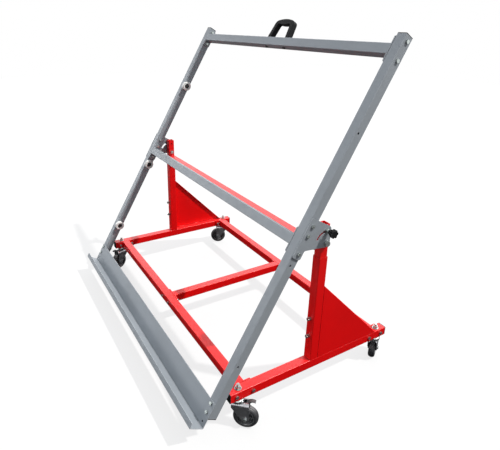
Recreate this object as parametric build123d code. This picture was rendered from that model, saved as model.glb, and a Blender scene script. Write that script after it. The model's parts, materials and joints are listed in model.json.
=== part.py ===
from build123d import *
import os
from math import cos, radians, sin

# Board trolley: a steel base on four braked swivel casters, two telescoping posts,
# and a tubular board frame that tilts about the post heads and carries a tray.
#
# Axes: +X to the right, +Y to the rear, +Z up. The origin lies on the floor, below the
# middle of the tilt axis. Lengths are in millimetres and angles in degrees.

# Tubes and sheet
OVERALL_WIDTH = 1450.0
TUBE = 40.0
TUBE_WALL = 2.0
TUBE_CORNER = 3.0
POST_PLAY = 0.5
CAP_THICKNESS = 3.0
CAP_PLUG = 7.0
CAP_PLAY = 0.1

# Base
RAIL_LENGTH = 815.0
POST_SETBACK = 393.0
BEAM_INSET = 63.0
STEM_INSET = 42.0
END_PLATE = 5.0
END_PLATE_LENGTH = 98.0
END_PLATE_CORNER = 5.0
BEAM_BOLT_SPACING = 72.0
OUTER_POST = 470.0
GUSSET_HEIGHT = 342.0
GUSSET_DEPTH = 338.0
GUSSET_SHEET = 3.0
GUSSET_FLANGE = 16.0
GUSSET_BEND = 4.0

# Telescoping posts
INNER_POST_RISE = 135.0
INNER_POST_FOOT = 6.0
LIFT_BEAM_HEIGHT = 20.0
LIFT_BEAM_RISE = 20.0
CLAMP_BOLT_LOW = 113.0
CLAMP_BOLT_PITCH = 82.0
CLAMP_TIP_GAP = 0.2
CLAMP_HEAD_GAP = 3.0

# Tilt mechanism
PIVOT_RISE = 63.0
REST_TILT = 30.0
TILT_RANGE = 60.0
SLOT_RADIUS = 51.0
SLOT_PLAY = 0.5
TILT_PLATE = 5.0
PLATE_TOP = 63.0
PLATE_EDGE = 15.5
PLATE_REAR_SLANT = 29.0
PLATE_FOOT_SLANT = 25.0
PLATE_TAB = 95.0
PLATE_TOP_CORNER = 14.0
PLATE_TAB_CORNER = 8.0
PLATE_HIGH_BOLT = 35.0
PLATE_GAP = 0.2

# Board frame, measured from the tilt axis
FRAME_FRONT = 125.0
STILE_BELOW = 759.0
STILE_LENGTH = 1522.0
TOP_RAIL_INSET = 56.0
MIDDLE_RAIL_DROP = 39.0
TRAY_DROP = 43.0
TRAY_BACK = 104.0
TRAY_DEPTH = 64.0
TRAY_LIP = 24.0
TRAY_SHEET = 2.5
TRAY_BEND = 4.0
TRAY_HOLE_EDGE = 11.0
TRAY_HOLE_PITCH = 37.0

# Rollers on the left stile
UPPER_ROLLER_DROP = 369.0
MIDDLE_ROLLER_DROP = 86.0
LOWER_ROLLER_RISE = 219.0
ROLLER_DIAMETER = 50.0
ROLLER_WIDTH = 22.0
ROLLER_SETBACK = 15.0
ROLLER_RECESS_DIAMETER = 29.0
ROLLER_RECESS = 8.0
ROLLER_HEAD_DIAMETER = 25.0
ROLLER_HEAD = 6.0
ROLLER_SOCKET = 6.0
ROLLER_SPACER = 2.0
ROLLER_EDGE = 2.0

# Handle on the top rail
HANDLE_SPAN = 138.0
HANDLE_LENGTH = 162.0
HANDLE_HEIGHT = 96.0
HANDLE_GRIP = 27.0
HANDLE_CROWN = 11.0
HANDLE_BELLY = 5.0
HANDLE_LEG = 24.0
HANDLE_DEPTH = 26.0
HANDLE_TAPER = 13.0
HANDLE_CORNER = 24.0
HANDLE_EDGE = 3.0

# Star knobs
KNOB_DIAMETER = 33.0
KNOB_HEAD = 14.0
KNOB_LOBES = 6
KNOB_LOBE_CUT = 4.5
KNOB_NECK_DIAMETER = 18.0
KNOB_NECK = 12.0
KNOB_STANDOFF = 9.0
STUD_DEPTH = 18.0

# Fasteners: thread, width across flats, head height and nut height
SMALL_BOLT = (8.0, 13.0, 5.5, 6.5)
CLAMP_BOLT = (10.0, 17.0, 6.5, 8.0)
PIVOT_BOLT = (12.0, 19.0, 7.5, 10.0)
STEM_BOLT = (12.0, 19.0, 7.5, 10.0)
AXLE_BOLT = (8.0, 13.0, 3.5, 4.0)
WASHER = 2.0
WASHER_RATIO = 2.0
BOLT_OVERRUN = 3.0
AXLE_OVERRUN = 1.0
HOLE_PLAY = 0.25
OPEN_HOLE_PLAY = 0.5
THREAD_PLAY = 0.05
RUNNING_PLAY = 0.06

# Casters
CASTER_HEIGHT = 138.0
WHEEL_DIAMETER = 100.0
WHEEL_WIDTH = 30.0
TYRE_DEPTH = 15.0
TYRE_SHOULDER = 12.0
HUB_WEB = 10.0
HUB_RIM = 4.0
HUB_RING_DIAMETER = 50.0
HUB_RING = 3.0
HUB_RING_DROP = 3.0
HUB_BOSS_DIAMETER = 30.0
CASTER_TRAIL = 34.0
FORK_SHEET = 3.0
FORK_WHEEL_GAP = 3.0
FORK_TOP_GAP = 18.0
FORK_SHOULDER = 13.0
FORK_FRONT = 22.0
FORK_REAR = 46.0
FORK_CHEEK = 22.0
FORK_FOOT_RADIUS = 14.0
RACE_DIAMETER = 52.0
RACE_RING = 4.0
RACE_GAP = 0.3
PEDAL_WIDTH = 14.0
PEDAL_SLOT_PLAY = 1.0
PEDAL_PIVOT_Y = 38.0
PEDAL_PIVOT_RISE = 10.0
PEDAL_PIN_DIAMETER = 6.0
PEDAL_BARREL = 11.0
PEDAL_SHOE = 9.0
PEDAL_RISE = 19.0
PEDAL_REACH = 33.0
PEDAL_TIP_RISE = 17.0
PEDAL_TIP = 3.0
PEDAL_BLADE = 5.0
PEDAL_TRAVEL = 12.0
STEM_OVERRUN = 9.0
STEM_WASHER_DIAMETER = 28.0
# Turn of each caster about its stem at rest, from trailing straight to the rear
CASTER_TURN = {"front_right": -42.0, "rear_right": 34.0, "rear_left": 155.0, "front_left": 201.0}

# Places worked out from the sizes above
HALF_WIDTH = OVERALL_WIDTH / 2
INNER_TUBE = TUBE - 2 * TUBE_WALL - 2 * POST_PLAY
rail_x = HALF_WIDTH - TUBE / 2
rail_inside = HALF_WIDTH - TUBE
rail_z = CASTER_HEIGHT + TUBE / 2
rail_top = CASTER_HEIGHT + TUBE
rail_front = -POST_SETBACK
rail_rear = rail_front + RAIL_LENGTH
front_beam_y = rail_front + BEAM_INSET
rear_beam_y = rail_rear - BEAM_INSET
post_top = rail_top + OUTER_POST
pivot_z = post_top + PIVOT_RISE
inner_post_face = rail_x + INNER_TUBE / 2
stile_y = -FRAME_FRONT + TUBE / 2
stile_top = STILE_LENGTH - STILE_BELOW
top_rail_s = stile_top - TOP_RAIL_INSET
middle_rail_s = -MIDDLE_RAIL_DROP
shelf_s = -STILE_BELOW - TRAY_DROP
roller_y = -FRAME_FRONT + ROLLER_SETBACK
# The rollers keep their distance to the stile's top, the middle rail and the stile's foot
roller_heights = {
    "upper": stile_top - UPPER_ROLLER_DROP,
    "middle": middle_rail_s - MIDDLE_ROLLER_DROP,
    "lower": LOWER_ROLLER_RISE - STILE_BELOW,
}
bolt_hole = SMALL_BOLT[0] / 2 + HOLE_PLAY
bolt_step = BEAM_BOLT_SPACING / 2

# The board frame is drawn upright, with the tilt axis along X through its origin
FRAME_PLACE = Pos(0, 0, pivot_z) * Rot(-REST_TILT, 0, 0)
SIDES = {"left": -1, "right": 1}


def spot(at, axis):
    """A place at a point, with its Z along an axis."""
    return Plane(origin=at, z_dir=axis).location


def rod(diameter, length, at, axis):
    """A round bar from a point along an axis."""
    bar = Cylinder(diameter / 2, length, align=(Align.CENTER, Align.CENTER, Align.MIN))
    return spot(at, axis) * bar


def hollow_section(length, width, depth):
    """A rectangular hollow section along +Z, centred on the axis."""
    outer = RectangleRounded(width, depth, TUBE_CORNER)
    bore_corner = max(TUBE_CORNER - TUBE_WALL, TUBE_WALL / 2)
    bore = RectangleRounded(width - 2 * TUBE_WALL, depth - 2 * TUBE_WALL, bore_corner)
    return extrude(outer - bore, length)


def square_tube(length, side):
    """A square hollow section along +Z, centred on the axis."""
    return hollow_section(length, side, side)


def hex_block(across_flats, height):
    """A hexagonal block along +Z."""
    return extrude(RegularPolygon(across_flats / 2, 6, major_radius=False), height)


def ring(outer, bore, height):
    """A flat ring along +Z."""
    return extrude(Circle(outer / 2) - Circle(bore / 2), height)


def hex_bolt(size, length):
    """A hexagon bolt: its head sits below the origin and its shank points along +Z."""
    thread, flats, head, _ = size
    shank = rod(thread, length, (0, 0, 0), (0, 0, 1))
    return Pos(0, 0, -head) * hex_block(flats, head) + shank


def button_bolt(thread, length):
    """A roller bolt: a domed head with a hexagon socket, placed like the hexagon bolt."""
    dome = extrude(Circle(ROLLER_HEAD_DIAMETER / 2), -ROLLER_HEAD)
    dome = fillet(dome.edges().group_by(Axis.Z)[0], ROLLER_HEAD * 0.8)
    dome -= Pos(0, 0, -ROLLER_HEAD) * hex_block(ROLLER_SOCKET, ROLLER_HEAD * 0.6)
    return dome + rod(thread, length, (0, 0, 0), (0, 0, 1))


def hex_nut(size):
    """A hexagon nut on the origin, along +Z."""
    thread, flats, _, height = size
    return hex_block(flats, height) - rod(thread + 2 * THREAD_PLAY, height, (0, 0, 0), (0, 0, 1))


def washer(size):
    """A flat washer on the origin, along +Z."""
    thread = size[0]
    return ring(thread * WASHER_RATIO, thread + 2 * THREAD_PLAY, WASHER)


def bolt_and_nut(size, grip, at, axis, overrun=BOLT_OVERRUN):
    """A bolt with its nut, clamping a grip length along an axis."""
    length = grip + size[3] + overrun
    place = spot(at, axis)
    return [place * hex_bolt(size, length), place * Pos(0, 0, grip) * hex_nut(size)]


def group(solids):
    """Separate solids kept together as one piece list."""
    return Compound([solid for item in solids for solid in item.solids()])


def mirrored(solid):
    """The same piece on the other side of the trolley."""
    return mirror(solid, about=Plane.YZ)


def bolted_beam(span):
    """A tube along X with a welded plate on each end; the plates reach along Y."""
    tube = Pos(END_PLATE - span / 2, 0, 0) * Rot(0, 90, 0) * square_tube(span - 2 * END_PLATE, TUBE)
    face = RectangleRounded(TUBE, END_PLATE_LENGTH, END_PLATE_CORNER)
    for hole in (-bolt_step, bolt_step):
        face -= Pos(0, hole) * Circle(bolt_hole)
    plate = Rot(0, 90, 0) * extrude(face, END_PLATE)
    return Pos(-span / 2, 0, 0) * plate + tube + Pos(span / 2 - END_PLATE, 0, 0) * plate


# Base


def side_rail():
    """The right side rail, with its bolt holes and the two caster stem holes."""
    rail = Pos(rail_x, rail_front, rail_z) * Rot(-90, 0, 0) * square_tube(RAIL_LENGTH, TUBE)
    for beam_y in (front_beam_y, rear_beam_y):
        for step in (-bolt_step, bolt_step):
            rail -= rod(2 * bolt_hole, TUBE, (rail_inside, beam_y + step, rail_z), (1, 0, 0))
    for stem_y in (rail_front + STEM_INSET, rail_rear - STEM_INSET):
        rail -= rod(STEM_BOLT[0] + 2 * HOLE_PLAY, TUBE, (rail_x, stem_y, CASTER_HEIGHT), (0, 0, 1))
    return rail


def cross_beam(beam_y):
    """A beam between the side rails, drilled for the centre beam's bolts."""
    beam = Pos(0, beam_y, rail_z) * bolted_beam(2 * rail_inside)
    for step in (-bolt_step, bolt_step):
        beam -= rod(2 * bolt_hole, TUBE, (step, beam_y - TUBE / 2, rail_z), (0, 1, 0))
    return beam


def centre_beam():
    """The beam that joins the two cross beams."""
    span = rear_beam_y - front_beam_y - TUBE
    return Pos(0, (front_beam_y + rear_beam_y) / 2, rail_z) * Rot(0, 0, 90) * bolted_beam(span)


def base_bolts():
    """Bolts of the side rails and of the centre beam."""
    grip = TUBE + END_PLATE
    solids = []
    for beam_y, outward in ((front_beam_y, -1), (rear_beam_y, 1)):
        for step in (-bolt_step, bolt_step):
            for side in SIDES.values():
                at = (side * HALF_WIDTH, beam_y + step, rail_z)
                solids += bolt_and_nut(SMALL_BOLT, grip, at, (-side, 0, 0))
            at = (step, beam_y + outward * TUBE / 2, rail_z)
            solids += bolt_and_nut(SMALL_BOLT, grip, at, (0, -outward, 0))
    return group(solids)


def tube_cap():
    """A plastic cap for a tube end: its plate on the origin, its plug along -Z."""
    plug_side = TUBE - 2 * TUBE_WALL - 2 * CAP_PLAY
    plug_corner = max(TUBE_CORNER - TUBE_WALL, TUBE_WALL / 2)
    plug = extrude(RectangleRounded(plug_side, plug_side, plug_corner), -CAP_PLUG)
    return extrude(RectangleRounded(TUBE, TUBE, TUBE_CORNER), CAP_THICKNESS) + plug


def rail_end_caps():
    """Caps on the four rail ends."""
    solids = []
    for side in SIDES.values():
        solids.append(Pos(side * rail_x, rail_front, rail_z) * Rot(90, 0, 0) * tube_cap())
        solids.append(Pos(side * rail_x, rail_rear, rail_z) * Rot(-90, 0, 0) * tube_cap())
    return group(solids)


def clamp_heights():
    """Heights of the two bolts that clamp the inner post."""
    low = rail_top + CLAMP_BOLT_LOW
    return (low, low + CLAMP_BOLT_PITCH)


def outer_post():
    """The right outer post, standing on its rail, with two holes for the clamp bolts."""
    post = Pos(rail_x, 0, rail_top) * square_tube(OUTER_POST, TUBE)
    for height in clamp_heights():
        post -= rod(SMALL_BOLT[0] + 2 * HOLE_PLAY, TUBE / 2, (rail_x, -TUBE / 2, height), (0, 1, 0))
    return post


def post_clamp_bolts():
    """Bolts that clamp the inner posts, each in a nut welded to the outer post's front."""
    shank_end = (TUBE - INNER_TUBE) / 2 - CLAMP_TIP_GAP
    stand_off = SMALL_BOLT[3] + CLAMP_HEAD_GAP
    solids = []
    for side in SIDES.values():
        for height in clamp_heights():
            head = spot((side * rail_x, -TUBE / 2 - stand_off, height), (0, 1, 0))
            nut = spot((side * rail_x, -TUBE / 2 - SMALL_BOLT[3], height), (0, 1, 0))
            solids.append(head * hex_bolt(SMALL_BOLT, stand_off + shank_end))
            solids.append(nut * hex_nut(SMALL_BOLT))
    return group(solids)


def gusset():
    """The right gusset: a sheet triangle behind the post, its long edge folded inward."""
    back = TUBE / 2
    corners = [(back, rail_top), (back + GUSSET_DEPTH, rail_top), (back, rail_top + GUSSET_HEIGHT)]
    triangle = make_face(Polyline(*corners, close=True))
    long_edge = (GUSSET_DEPTH**2 + GUSSET_HEIGHT**2) ** 0.5
    inward = (-GUSSET_SHEET * GUSSET_HEIGHT / long_edge, -GUSSET_SHEET * GUSSET_DEPTH / long_edge)
    fold = triangle - Pos(*inward) * triangle
    # The sketch's X and Y are the trolley's Y and Z
    outside = Plane(origin=(HALF_WIDTH, 0, 0), x_dir=(0, 1, 0), z_dir=(1, 0, 0)).location
    sheet = outside * (extrude(triangle, -GUSSET_SHEET) + extrude(fold, -GUSSET_FLANGE))
    fold_edge = sheet.edges().group_by(Axis.X)[-1].sort_by(SortBy.LENGTH)[-1]
    return fillet(fold_edge, min(GUSSET_BEND, GUSSET_SHEET * 0.95))


# Telescoping posts


def inner_post():
    """The right inner post, open at its top, drilled for the pivot bolt and the knob's stud."""
    foot = rail_top + INNER_POST_FOOT
    post = Pos(rail_x, 0, foot) * square_tube(post_top + INNER_POST_RISE - foot, INNER_TUBE)
    pivot_hole = PIVOT_BOLT[0] + 2 * HOLE_PLAY
    stud_hole = CLAMP_BOLT[0] + 2 * RUNNING_PLAY
    inside = rail_x - INNER_TUBE / 2
    post -= rod(pivot_hole, INNER_TUBE, (inside, 0, pivot_z), (1, 0, 0))
    post -= rod(stud_hole, INNER_TUBE, (inside, 0, pivot_z + SLOT_RADIUS), (1, 0, 0))
    return post


def lift_beam():
    """The flat beam welded between the inner posts, above the outer posts' tops."""
    length = 2 * (rail_x - INNER_TUBE / 2)
    middle = post_top + LIFT_BEAM_RISE + LIFT_BEAM_HEIGHT / 2
    return Pos(-length / 2, 0, middle) * Rot(0, 90, 0) * hollow_section(length, LIFT_BEAM_HEIGHT, TUBE)


def pivot_bolts():
    """The tilt axis: on each side a bolt with washer, nut and a spacer behind the tilt plate."""
    thread = PIVOT_BOLT[0]
    spacer = HALF_WIDTH - inner_post_face - PLATE_GAP
    outside = HALF_WIDTH + TILT_PLATE + PLATE_GAP
    grip = outside + WASHER - (rail_x - INNER_TUBE / 2)
    length = grip + PIVOT_BOLT[3] + BOLT_OVERRUN
    solids = []
    for side in SIDES.values():
        inward = (-side, 0, 0)
        head = spot((side * (outside + WASHER), 0, pivot_z), inward)
        solids.append(head * hex_bolt(PIVOT_BOLT, length))
        solids.append(head * washer(PIVOT_BOLT))
        solids.append(head * Pos(0, 0, grip) * hex_nut(PIVOT_BOLT))
        spacer_ring = ring(2 * PLATE_EDGE, thread + 2 * THREAD_PLAY, spacer)
        solids.append(spot((side * inner_post_face, 0, pivot_z), (side, 0, 0)) * spacer_ring)
    return group(solids)


def stud_nuts():
    """Nuts welded inside the inner posts, which take the knobs' studs."""
    inside = inner_post_face - TUBE_WALL
    solids = []
    for side in SIDES.values():
        place = spot((side * inside, 0, pivot_z + SLOT_RADIUS), (-side, 0, 0))
        solids.append(place * hex_nut(CLAMP_BOLT))
    return group(solids)


# Tilt plates and knobs


def tilt_plate():
    """The right tilt plate, with its pivot hole and the slot round the pivot."""
    rear = (cos(radians(PLATE_REAR_SLANT)), sin(radians(PLATE_REAR_SLANT)))
    foot = (sin(radians(PLATE_FOOT_SLANT)), -cos(radians(PLATE_FOOT_SLANT)))
    # Both sloping edges touch a circle round the pivot; this is where they would meet
    corner_scale = PLATE_EDGE / (1 + rear[0] * foot[0] + rear[1] * foot[1])
    pivot_corner = (corner_scale * (rear[0] + foot[0]), corner_scale * (rear[1] + foot[1]))
    top_corner = ((PLATE_EDGE - rear[1] * PLATE_TOP) / rear[0], PLATE_TOP)
    stile_back = stile_y + TUBE / 2
    notch = (stile_back, (foot[0] * stile_back - PLATE_EDGE) / -foot[1])
    outline = Polyline(
        (-FRAME_FRONT, PLATE_TOP),
        top_corner,
        pivot_corner,
        notch,
        (stile_back, -PLATE_TAB),
        (-FRAME_FRONT, -PLATE_TAB),
        close=True,
    )
    face = make_face(outline)
    rounds = (
        (top_corner, PLATE_TOP_CORNER),
        (pivot_corner, PLATE_EDGE),
        (notch, PLATE_TAB_CORNER),
        ((stile_back, -PLATE_TAB), PLATE_TAB_CORNER),
        ((-FRAME_FRONT, -PLATE_TAB), PLATE_TAB_CORNER),
    )
    for point, radius in rounds:
        face = fillet(face.vertices().sort_by_distance(Vector(*point))[0], radius)
    slot_path = CenterArc((0, 0), SLOT_RADIUS, 90 + REST_TILT, TILT_RANGE)
    face -= SlotArc(slot_path, CLAMP_BOLT[0] + 2 * SLOT_PLAY)
    face -= Circle(PIVOT_BOLT[0] / 2 + RUNNING_PLAY)
    for height in plate_bolt_heights():
        face -= Pos(stile_y, height) * Circle(bolt_hole)
    outside = Plane(origin=(HALF_WIDTH, 0, 0), x_dir=(0, 1, 0), z_dir=(1, 0, 0)).location
    return outside * extrude(face, TILT_PLATE)


def plate_bolt_heights():
    """Tilt plate bolts: one above, and the two that also hold the middle rail."""
    return (PLATE_HIGH_BOLT, middle_rail_s + bolt_step, middle_rail_s - bolt_step)


def star_knob():
    """The right star knob: a lobed head on a round neck, with the stud's blind hole."""
    outside = HALF_WIDTH + TILT_PLATE + PLATE_GAP + WASHER
    head = Circle(KNOB_DIAMETER / 2)
    for lobe in PolarLocations(KNOB_DIAMETER / 2 + KNOB_LOBE_CUT / 3, KNOB_LOBES):
        head -= lobe * Circle(KNOB_LOBE_CUT)
    neck_base = KNOB_STANDOFF
    knob = Pos(0, 0, neck_base) * extrude(Circle(KNOB_NECK_DIAMETER / 2), KNOB_NECK)
    knob += Pos(0, 0, neck_base + KNOB_NECK) * extrude(head, KNOB_HEAD)
    stud_hole = CLAMP_BOLT[0] + 2 * THREAD_PLAY
    knob -= rod(stud_hole, KNOB_NECK + KNOB_HEAD / 2, (0, 0, neck_base), (0, 0, 1))
    return spot((outside, 0, pivot_z + SLOT_RADIUS), (1, 0, 0)) * knob


def knob_stud():
    """The right knob's stud with its collar and the washer that grips the tilt plate."""
    outside = HALF_WIDTH + TILT_PLATE + PLATE_GAP
    inner_end = inner_post_face - STUD_DEPTH
    outer_end = outside + WASHER + KNOB_STANDOFF + KNOB_NECK + KNOB_HEAD / 2
    height = pivot_z + SLOT_RADIUS
    stud = rod(CLAMP_BOLT[0], outer_end - inner_end, (inner_end, 0, height), (1, 0, 0))
    collar = rod(CLAMP_BOLT[0] * 1.5, KNOB_STANDOFF, (outside + WASHER, 0, height), (1, 0, 0))
    plate_washer = spot((outside, 0, height), (1, 0, 0)) * washer(CLAMP_BOLT)
    return group([stud + collar, plate_washer])


# Board frame


def stile(side):
    """A stile with its holes; the left one carries the rollers, the right one's roller holes are open."""
    x = side * rail_x
    roller_play = THREAD_PLAY if side == SIDES["left"] else OPEN_HOLE_PLAY
    roller_hole = SMALL_BOLT[0] + 2 * roller_play
    tube = Pos(x, stile_y, -STILE_BELOW) * square_tube(STILE_LENGTH, TUBE)
    cross_holes = list(plate_bolt_heights())
    cross_holes += [top_rail_s - bolt_step, top_rail_s + bolt_step]
    for height in cross_holes:
        tube -= rod(2 * bolt_hole, TUBE, (x - TUBE / 2, stile_y, height), (1, 0, 0))
    for height in roller_heights.values():
        tube -= rod(roller_hole, TUBE, (x - TUBE / 2, roller_y, height), (1, 0, 0))
    for height in tray_hole_heights()[:2]:
        tube -= rod(2 * bolt_hole, TUBE, (x, -FRAME_FRONT, height), (0, 1, 0))
    return FRAME_PLACE * tube


def frame_rail(height):
    """A rail between the stiles; its end plates reach up and down the stiles."""
    return Pos(0, stile_y, height) * Rot(90, 0, 0) * bolted_beam(2 * rail_inside)


def top_rail():
    """The top rail, drilled for the handle."""
    rail = frame_rail(top_rail_s)
    for x in (-HANDLE_SPAN / 2, HANDLE_SPAN / 2):
        rail -= rod(2 * bolt_hole, TUBE, (x, stile_y, top_rail_s - TUBE / 2), (0, 0, 1))
    return FRAME_PLACE * rail


def middle_rail():
    """The middle rail, just below the tilt axis."""
    return FRAME_PLACE * frame_rail(middle_rail_s)


def frame_bolts():
    """Bolts that hold the rails and the tilt plates to the stiles."""
    solids = []
    for side in SIDES.values():
        inward = (-side, 0, 0)
        for step in (-bolt_step, bolt_step):
            at = (side * HALF_WIDTH, stile_y, top_rail_s + step)
            solids += bolt_and_nut(SMALL_BOLT, TUBE + END_PLATE, at, inward)
        high, *rail_pair = plate_bolt_heights()
        plate_face = side * (HALF_WIDTH + TILT_PLATE)
        solids += bolt_and_nut(SMALL_BOLT, TILT_PLATE + TUBE, (plate_face, stile_y, high), inward)
        for height in rail_pair:
            grip = TILT_PLATE + TUBE + END_PLATE
            solids += bolt_and_nut(SMALL_BOLT, grip, (plate_face, stile_y, height), inward)
    return FRAME_PLACE * group(solids)


def stile_end_caps():
    """Caps on both ends of both stiles."""
    solids = []
    for side in SIDES.values():
        solids.append(Pos(side * rail_x, stile_y, stile_top) * tube_cap())
        solids.append(Pos(side * rail_x, stile_y, -STILE_BELOW) * Rot(180, 0, 0) * tube_cap())
    return FRAME_PLACE * group(solids)


def tray_hole_heights():
    """Three holes at each end of the tray; the lowest is spare."""
    first = shelf_s + TRAY_BACK - TRAY_HOLE_EDGE
    return [first - index * TRAY_HOLE_PITCH for index in range(3)]


def tray():
    """The board tray: one folded sheet with a back, a shelf and a front lip."""
    front = -FRAME_FRONT - TRAY_DEPTH
    path = Polyline(
        (-FRAME_FRONT, shelf_s + TRAY_BACK),
        (-FRAME_FRONT, shelf_s),
        (front, shelf_s),
        (front, shelf_s + TRAY_LIP),
        (front + TRAY_SHEET, shelf_s + TRAY_LIP),
        (front + TRAY_SHEET, shelf_s + TRAY_SHEET),
        (-FRAME_FRONT - TRAY_SHEET, shelf_s + TRAY_SHEET),
        (-FRAME_FRONT - TRAY_SHEET, shelf_s + TRAY_BACK),
        close=True,
    )
    section = make_face(path)
    outer_bends = [(-FRAME_FRONT, shelf_s), (front, shelf_s)]
    inner_bends = [
        (front + TRAY_SHEET, shelf_s + TRAY_SHEET),
        (-FRAME_FRONT - TRAY_SHEET, shelf_s + TRAY_SHEET),
    ]
    inner_radius = max(TRAY_BEND - TRAY_SHEET, TRAY_SHEET / 2)
    for points, radius in ((outer_bends, TRAY_BEND), (inner_bends, inner_radius)):
        for point in points:
            section = fillet(section.vertices().sort_by_distance(Vector(*point))[0], radius)
    end = Plane(origin=(-HALF_WIDTH, 0, 0), x_dir=(0, 1, 0), z_dir=(1, 0, 0)).location
    sheet = end * extrude(section, OVERALL_WIDTH)
    for side in SIDES.values():
        for height in tray_hole_heights():
            at = (side * rail_x, -FRAME_FRONT - TRAY_SHEET, height)
            sheet -= rod(2 * bolt_hole, TRAY_SHEET, at, (0, 1, 0))
    return FRAME_PLACE * sheet


def tray_bolts():
    """Two bolts at each end of the tray, through the stiles."""
    solids = []
    for side in SIDES.values():
        for height in tray_hole_heights()[:2]:
            at = (side * rail_x, -FRAME_FRONT - TRAY_SHEET, height)
            solids += bolt_and_nut(SMALL_BOLT, TRAY_SHEET + TUBE, at, (0, 1, 0))
    return FRAME_PLACE * group(solids)


def bridge(half_foot, half_shoulder, shoulder, crown):
    """A handle outline: two leaning legs under an arched top."""
    left = Line((-half_foot, 0), (-half_shoulder, shoulder))
    top = ThreePointArc((-half_shoulder, shoulder), (0, crown), (half_shoulder, shoulder))
    right = Line((half_shoulder, shoulder), (half_foot, 0))
    return make_face(left + top + right + Line((half_foot, 0), (-half_foot, 0)))


def handle():
    """The bridge handle on the top rail: an arched grip, thickest in its middle, on two legs."""
    foot = top_rail_s + TUBE / 2
    half = HANDLE_LENGTH / 2
    shoulder = HANDLE_HEIGHT - HANDLE_CROWN
    outline = bridge(half, half - HANDLE_TAPER, shoulder, HANDLE_HEIGHT)
    outline = fillet(outline.vertices().group_by(Axis.Y)[-1], HANDLE_CORNER)
    opening = HANDLE_HEIGHT - HANDLE_GRIP
    inner_half = half - HANDLE_LEG
    inner_shoulder = inner_half - HANDLE_TAPER * (opening + HANDLE_BELLY) / shoulder
    hole = bridge(inner_half, inner_shoulder, opening + HANDLE_BELLY, opening)
    hole = fillet(hole.vertices().group_by(Axis.Y)[-1], HANDLE_CORNER / 3)
    face = Plane(origin=(0, stile_y - HANDLE_DEPTH / 2, foot), x_dir=(1, 0, 0), z_dir=(0, -1, 0)).location
    bar = face * extrude(outline - hole, -HANDLE_DEPTH)
    front_and_back = bar.faces().group_by(Axis.Y)
    rims = front_and_back[0].edges() + front_and_back[-1].edges()
    foot_edges = bar.edges().group_by(Axis.Z)[0]
    bar = fillet([edge for edge in rims if edge not in foot_edges], HANDLE_EDGE)
    for x in (-HANDLE_SPAN / 2, HANDLE_SPAN / 2):
        bar -= rod(SMALL_BOLT[0] + 2 * THREAD_PLAY, HANDLE_HEIGHT / 3, (x, stile_y, foot), (0, 0, 1))
    return FRAME_PLACE * bar


def handle_bolts():
    """Bolts up through the top rail into the handle's legs."""
    length = TUBE + HANDLE_HEIGHT / 4
    under = top_rail_s - TUBE / 2
    solids = []
    for x in (-HANDLE_SPAN / 2, HANDLE_SPAN / 2):
        solids.append(spot((x, stile_y, under), (0, 0, 1)) * hex_bolt(SMALL_BOLT, length))
    return FRAME_PLACE * group(solids)


def roller_spot(height):
    """Where a roller's inner face sits, its axis pointing away from the left stile."""
    return FRAME_PLACE * spot((-rail_inside + ROLLER_SPACER, roller_y, height), (1, 0, 0))


def roller(height):
    """A plastic roller with a round recess for its bolt head."""
    body = Cylinder(ROLLER_DIAMETER / 2, ROLLER_WIDTH, align=(Align.CENTER, Align.CENTER, Align.MIN))
    body = chamfer(body.edges().filter_by(GeomType.CIRCLE), ROLLER_EDGE)
    recess_floor = ROLLER_WIDTH - ROLLER_RECESS
    body -= rod(ROLLER_RECESS_DIAMETER, ROLLER_RECESS, (0, 0, recess_floor), (0, 0, 1))
    body -= rod(SMALL_BOLT[0] + 2 * RUNNING_PLAY, recess_floor, (0, 0, 0), (0, 0, 1))
    return roller_spot(height) * body


def roller_bolts():
    """Each roller's bolt, with its spacer and the nut on the stile's outer face."""
    recess_floor = ROLLER_WIDTH - ROLLER_RECESS
    thread = SMALL_BOLT[0]
    grip = PLATE_GAP + recess_floor + ROLLER_SPACER + TUBE
    solids = []
    for height in roller_heights.values():
        head = spot((-rail_inside + ROLLER_SPACER + recess_floor + PLATE_GAP, roller_y, height), (-1, 0, 0))
        solids.append(head * button_bolt(thread, grip + SMALL_BOLT[3] + BOLT_OVERRUN))
        solids.append(head * Pos(0, 0, grip) * hex_nut(SMALL_BOLT))
        spacer = ring(thread * WASHER_RATIO, thread + 2 * THREAD_PLAY, ROLLER_SPACER - PLATE_GAP)
        solids.append(spot((-rail_inside, roller_y, height), (1, 0, 0)) * spacer)
    return FRAME_PLACE * group(solids)


# Casters, drawn trailing to the rear with the stem along Z through the origin

axle_z = WHEEL_DIAMETER / 2
fork_inside = WHEEL_WIDTH / 2 + FORK_WHEEL_GAP
fork_outside = fork_inside + FORK_SHEET
fork_top = WHEEL_DIAMETER + FORK_TOP_GAP + FORK_SHEET
pedal_pivot_z = WHEEL_DIAMETER + PEDAL_PIVOT_RISE


def caster_place(name):
    """A caster's stem on the floor plane, turned to its rest direction."""
    y = rail_front + STEM_INSET if "front" in name else rail_rear - STEM_INSET
    x = rail_x if "right" in name else -rail_x
    return Pos(x, y, 0) * Rot(0, 0, CASTER_TURN[name])


def caster_stem():
    """A stem with its upper race, and the nut and washer on top of the rail."""
    race_low = fork_top + RACE_RING + RACE_GAP
    race = Pos(0, 0, race_low) * extrude(Circle(RACE_DIAMETER / 2), CASTER_HEIGHT - race_low)
    rim = race.edges().group_by(Axis.Z)[-1]
    race = fillet(rim, (CASTER_HEIGHT - race_low) / 2)
    stem_length = TUBE + WASHER + STEM_BOLT[3] + STEM_OVERRUN
    stem = race + rod(STEM_BOLT[0], stem_length, (0, 0, CASTER_HEIGHT), (0, 0, 1))
    flat_ring = ring(STEM_WASHER_DIAMETER, STEM_BOLT[0] + 2 * THREAD_PLAY, WASHER)
    nut = Pos(0, 0, rail_top + WASHER) * hex_nut(STEM_BOLT)
    return [stem, Pos(0, 0, rail_top) * flat_ring, nut]


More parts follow.
